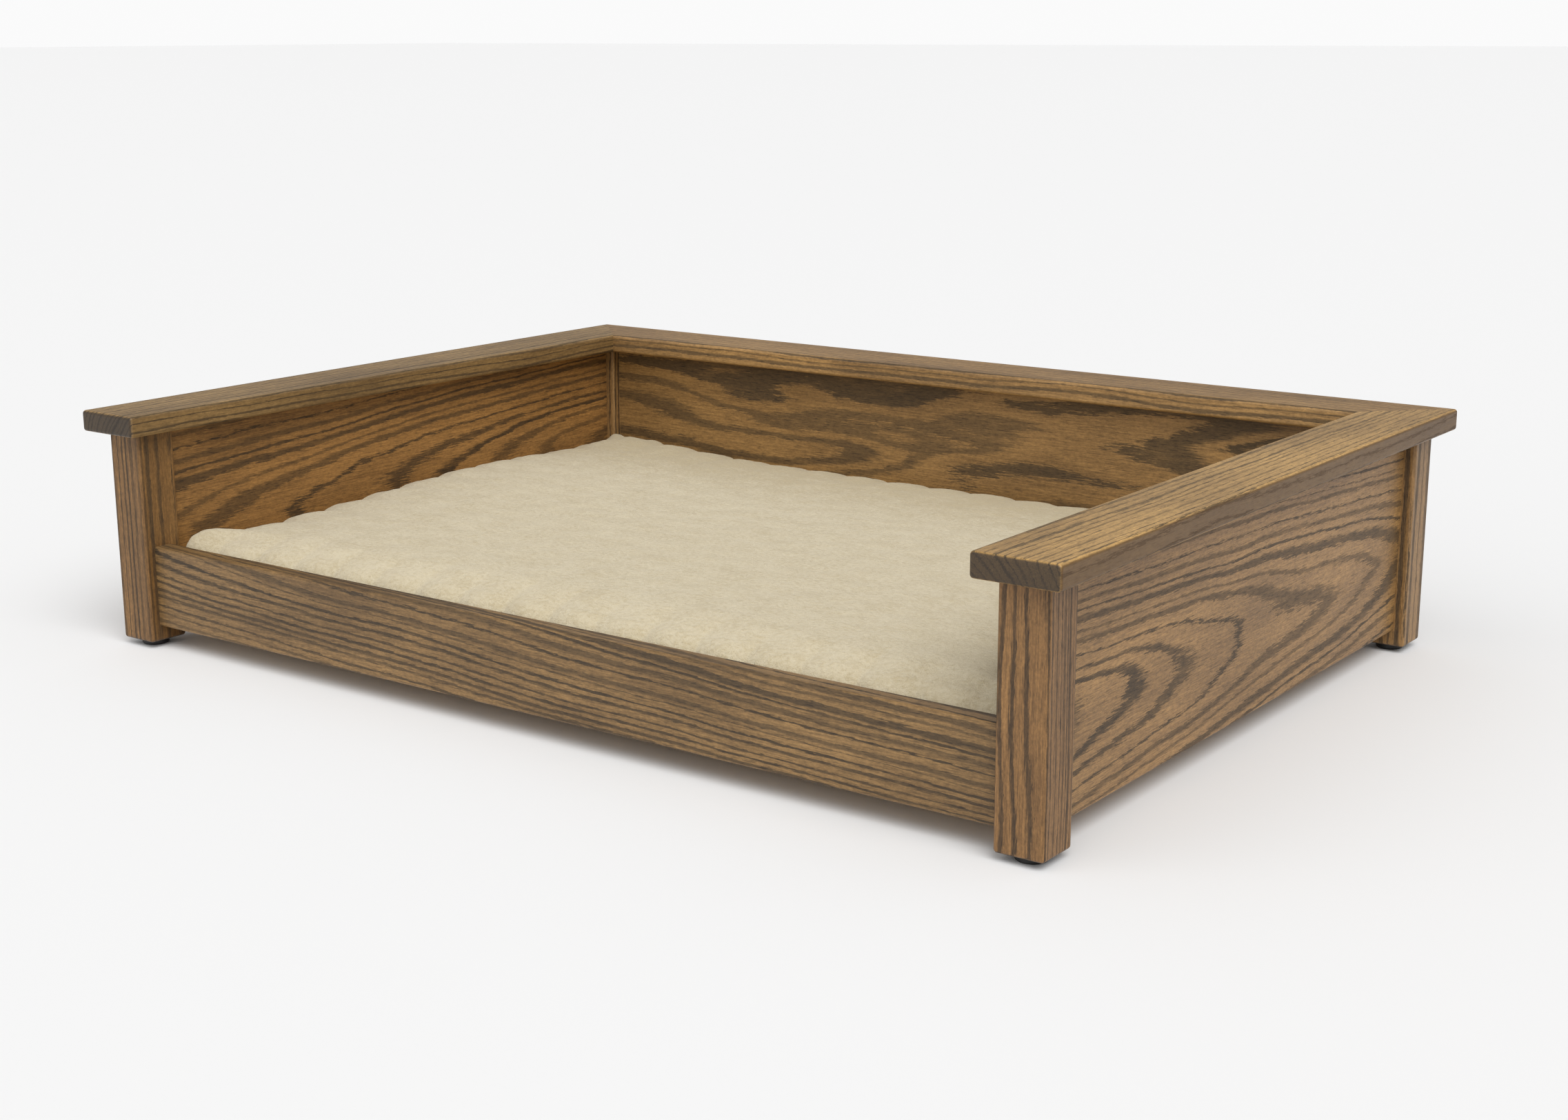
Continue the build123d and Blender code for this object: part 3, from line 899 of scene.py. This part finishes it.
def stitch_mesh(start, end, out, height, first):
    """Points and faces of one stitch: a thread bead from start to end. Its points are
    numbered from first."""
    points, faces = [], []
    for share, fat in THREAD_RINGS:
        centre = start.lerp(end, share)
        for k in range(THREAD_SIDES):
            angle = k / THREAD_SIDES * 2 * math.pi
            spot = centre + out * (THREAD_OUT * fat * math.cos(angle))
            points.append((spot.x, spot.y, height + THREAD_UP * fat * math.sin(angle)))
    for r in range(len(THREAD_RINGS) - 1):
        low = first + r * THREAD_SIDES
        high = low + THREAD_SIDES
        for k in range(THREAD_SIDES):
            j = (k + 1) % THREAD_SIDES
            faces.append((low + k, high + k, high + j, low + j))
    last = first + (len(THREAD_RINGS) - 1) * THREAD_SIDES
    faces.append(tuple(first + k for k in range(THREAD_SIDES)))
    faces.append(tuple(last + k for k in reversed(range(THREAD_SIDES))))
    return points, faces


def make_seam(material):
    """The binding tape round the foot of the mat, and the row of stitches that holds it."""
    low, high = pad_low.z - TAPE_LOW, pad_low.z + TAPE_HIGH
    points, faces = tape_mesh(low, high)
    level = low + STITCH_LEVEL * (high - low)
    for i in range(STITCHES):
        start, _ = outline_point((i + STITCH_SPAN[0]) / STITCHES, -STITCH_OUT)
        end, out = outline_point((i + STITCH_SPAN[1]) / STITCHES, -STITCH_OUT)
        more, sides = stitch_mesh(start, end, out, level, len(points))
        points += more
        faces += sides
    data = bpy.data.meshes.new("mat_seam")
    data.from_pydata(points, [], faces)
    mesh = bmesh.new()
    mesh.from_mesh(data)
    bmesh.ops.recalc_face_normals(mesh, faces=mesh.faces)
    mesh.to_mesh(data)
    mesh.free()
    piece = bpy.data.objects.new("mat_seam", data)
    bpy.context.scene.collection.objects.link(piece)
    for polygon in data.polygons:
        polygon.use_smooth = True
    data.materials.append(material)
    return piece


mat = make_mat()
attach(mat, MAT_BODY)
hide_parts("mat_fleece_top", "mat_filling")

base_cloth = woven_material("base_cloth", srgb(214, 200, 172), srgb(178, 160, 130), 1.2)
mat_base = make_base(mat, base_cloth)
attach(mat_base, MAT_BODY)
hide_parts("mat_base_cloth")
cloth_size(mat_base)

tape = woven_material("seam_tape", srgb(226, 214, 188), srgb(190, 172, 142), 0.7)
mat_seam = make_seam(tape)
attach(mat_seam, MAT_BODY)


# ---------------------------------------------------------------- stage, light and camera

def sun(name, azimuth, elevation, strength, spread):
    """A soft far light. Azimuth 0 is in front and 90 to the right, in degrees."""
    light = bpy.data.lights.new(name, "SUN")
    light.energy = strength
    light.angle = math.radians(spread)
    lamp = bpy.data.objects.new(name, light)
    turn, rise = math.radians(azimuth), math.radians(elevation)
    towards = Vector((
        math.sin(turn) * math.cos(rise), -math.cos(turn) * math.cos(rise), math.sin(rise)))
    lamp.rotation_euler = towards.to_track_quat("Z", "Y").to_euler()
    lamp.location = towards * 3
    bpy.context.scene.collection.objects.link(lamp)


SKY_LIGHT = 0.42                  # strength of the sky as light,
SKY_SEEN = 0.96                   # and where the camera sees it
FLOOR_REACH = 60.0
FLOOR_WHITE = 0.875
CAMERA_PLACE = (1.157, -1.553, 0.550)
CAMERA_ANGLES = (36.27, 13.66, -0.14)   # azimuth, elevation and roll, in degrees
CAMERA_LENS = 50.3


def make_floor():
    """A plain pale floor, wide enough to have no edge in any view."""
    mesh = bmesh.new()
    bmesh.ops.create_grid(mesh, x_segments=2, y_segments=2, size=FLOOR_REACH)
    data = bpy.data.meshes.new("floor")
    mesh.to_mesh(data)
    mesh.free()
    floor = bpy.data.objects.new("floor", data)
    bpy.context.scene.collection.objects.link(floor)
    material, graph, shader = new_material("floor")
    shader.inputs["Base Color"].default_value = (FLOOR_WHITE, FLOOR_WHITE, FLOOR_WHITE, 1)
    shader.inputs["Roughness"].default_value = 0.9
    data.materials.append(material)


def make_world():
    """Even white light, a little brighter where the camera sees it, to match the floor."""
    world = bpy.data.worlds.new("studio")
    world.use_nodes = True
    graph = Graph(world.node_tree)
    background = world.node_tree.nodes["Background"]
    background.inputs["Color"].default_value = (1, 1, 1, 1)
    path = graph.node("ShaderNodeLightPath")
    strength = graph.blend(path.outputs["Is Camera Ray"], SKY_LIGHT, SKY_SEEN)
    graph.put(background.inputs["Strength"], strength)
    bpy.context.scene.world = world


def make_camera():
    """Where the picture was taken from: low, from the front right."""
    data = bpy.data.cameras.new("camera")
    data.sensor_width = 36
    data.lens = CAMERA_LENS
    camera = bpy.data.objects.new("camera", data)
    azimuth, elevation, roll = (math.radians(angle) for angle in CAMERA_ANGLES)
    back = Vector((
        math.sin(azimuth) * math.cos(elevation),
        -math.cos(azimuth) * math.cos(elevation),
        math.sin(elevation),
    ))
    right = Vector((0, 0, 1)).cross(back).normalized()
    up = back.cross(right)
    side = math.cos(roll) * right + math.sin(roll) * up
    top = back.cross(side)
    turn = Matrix((side, top, back)).transposed().to_4x4()
    camera.matrix_world = Matrix.Translation(CAMERA_PLACE) @ turn
    bpy.context.scene.collection.objects.link(camera)
    bpy.context.scene.camera = camera


make_floor()
make_world()
make_camera()
sun("key", 58, 50, 2.0, 45)
sun("fill", -10, 35, 0.9, 80)
bpy.context.scene.view_settings.view_transform = "Standard"
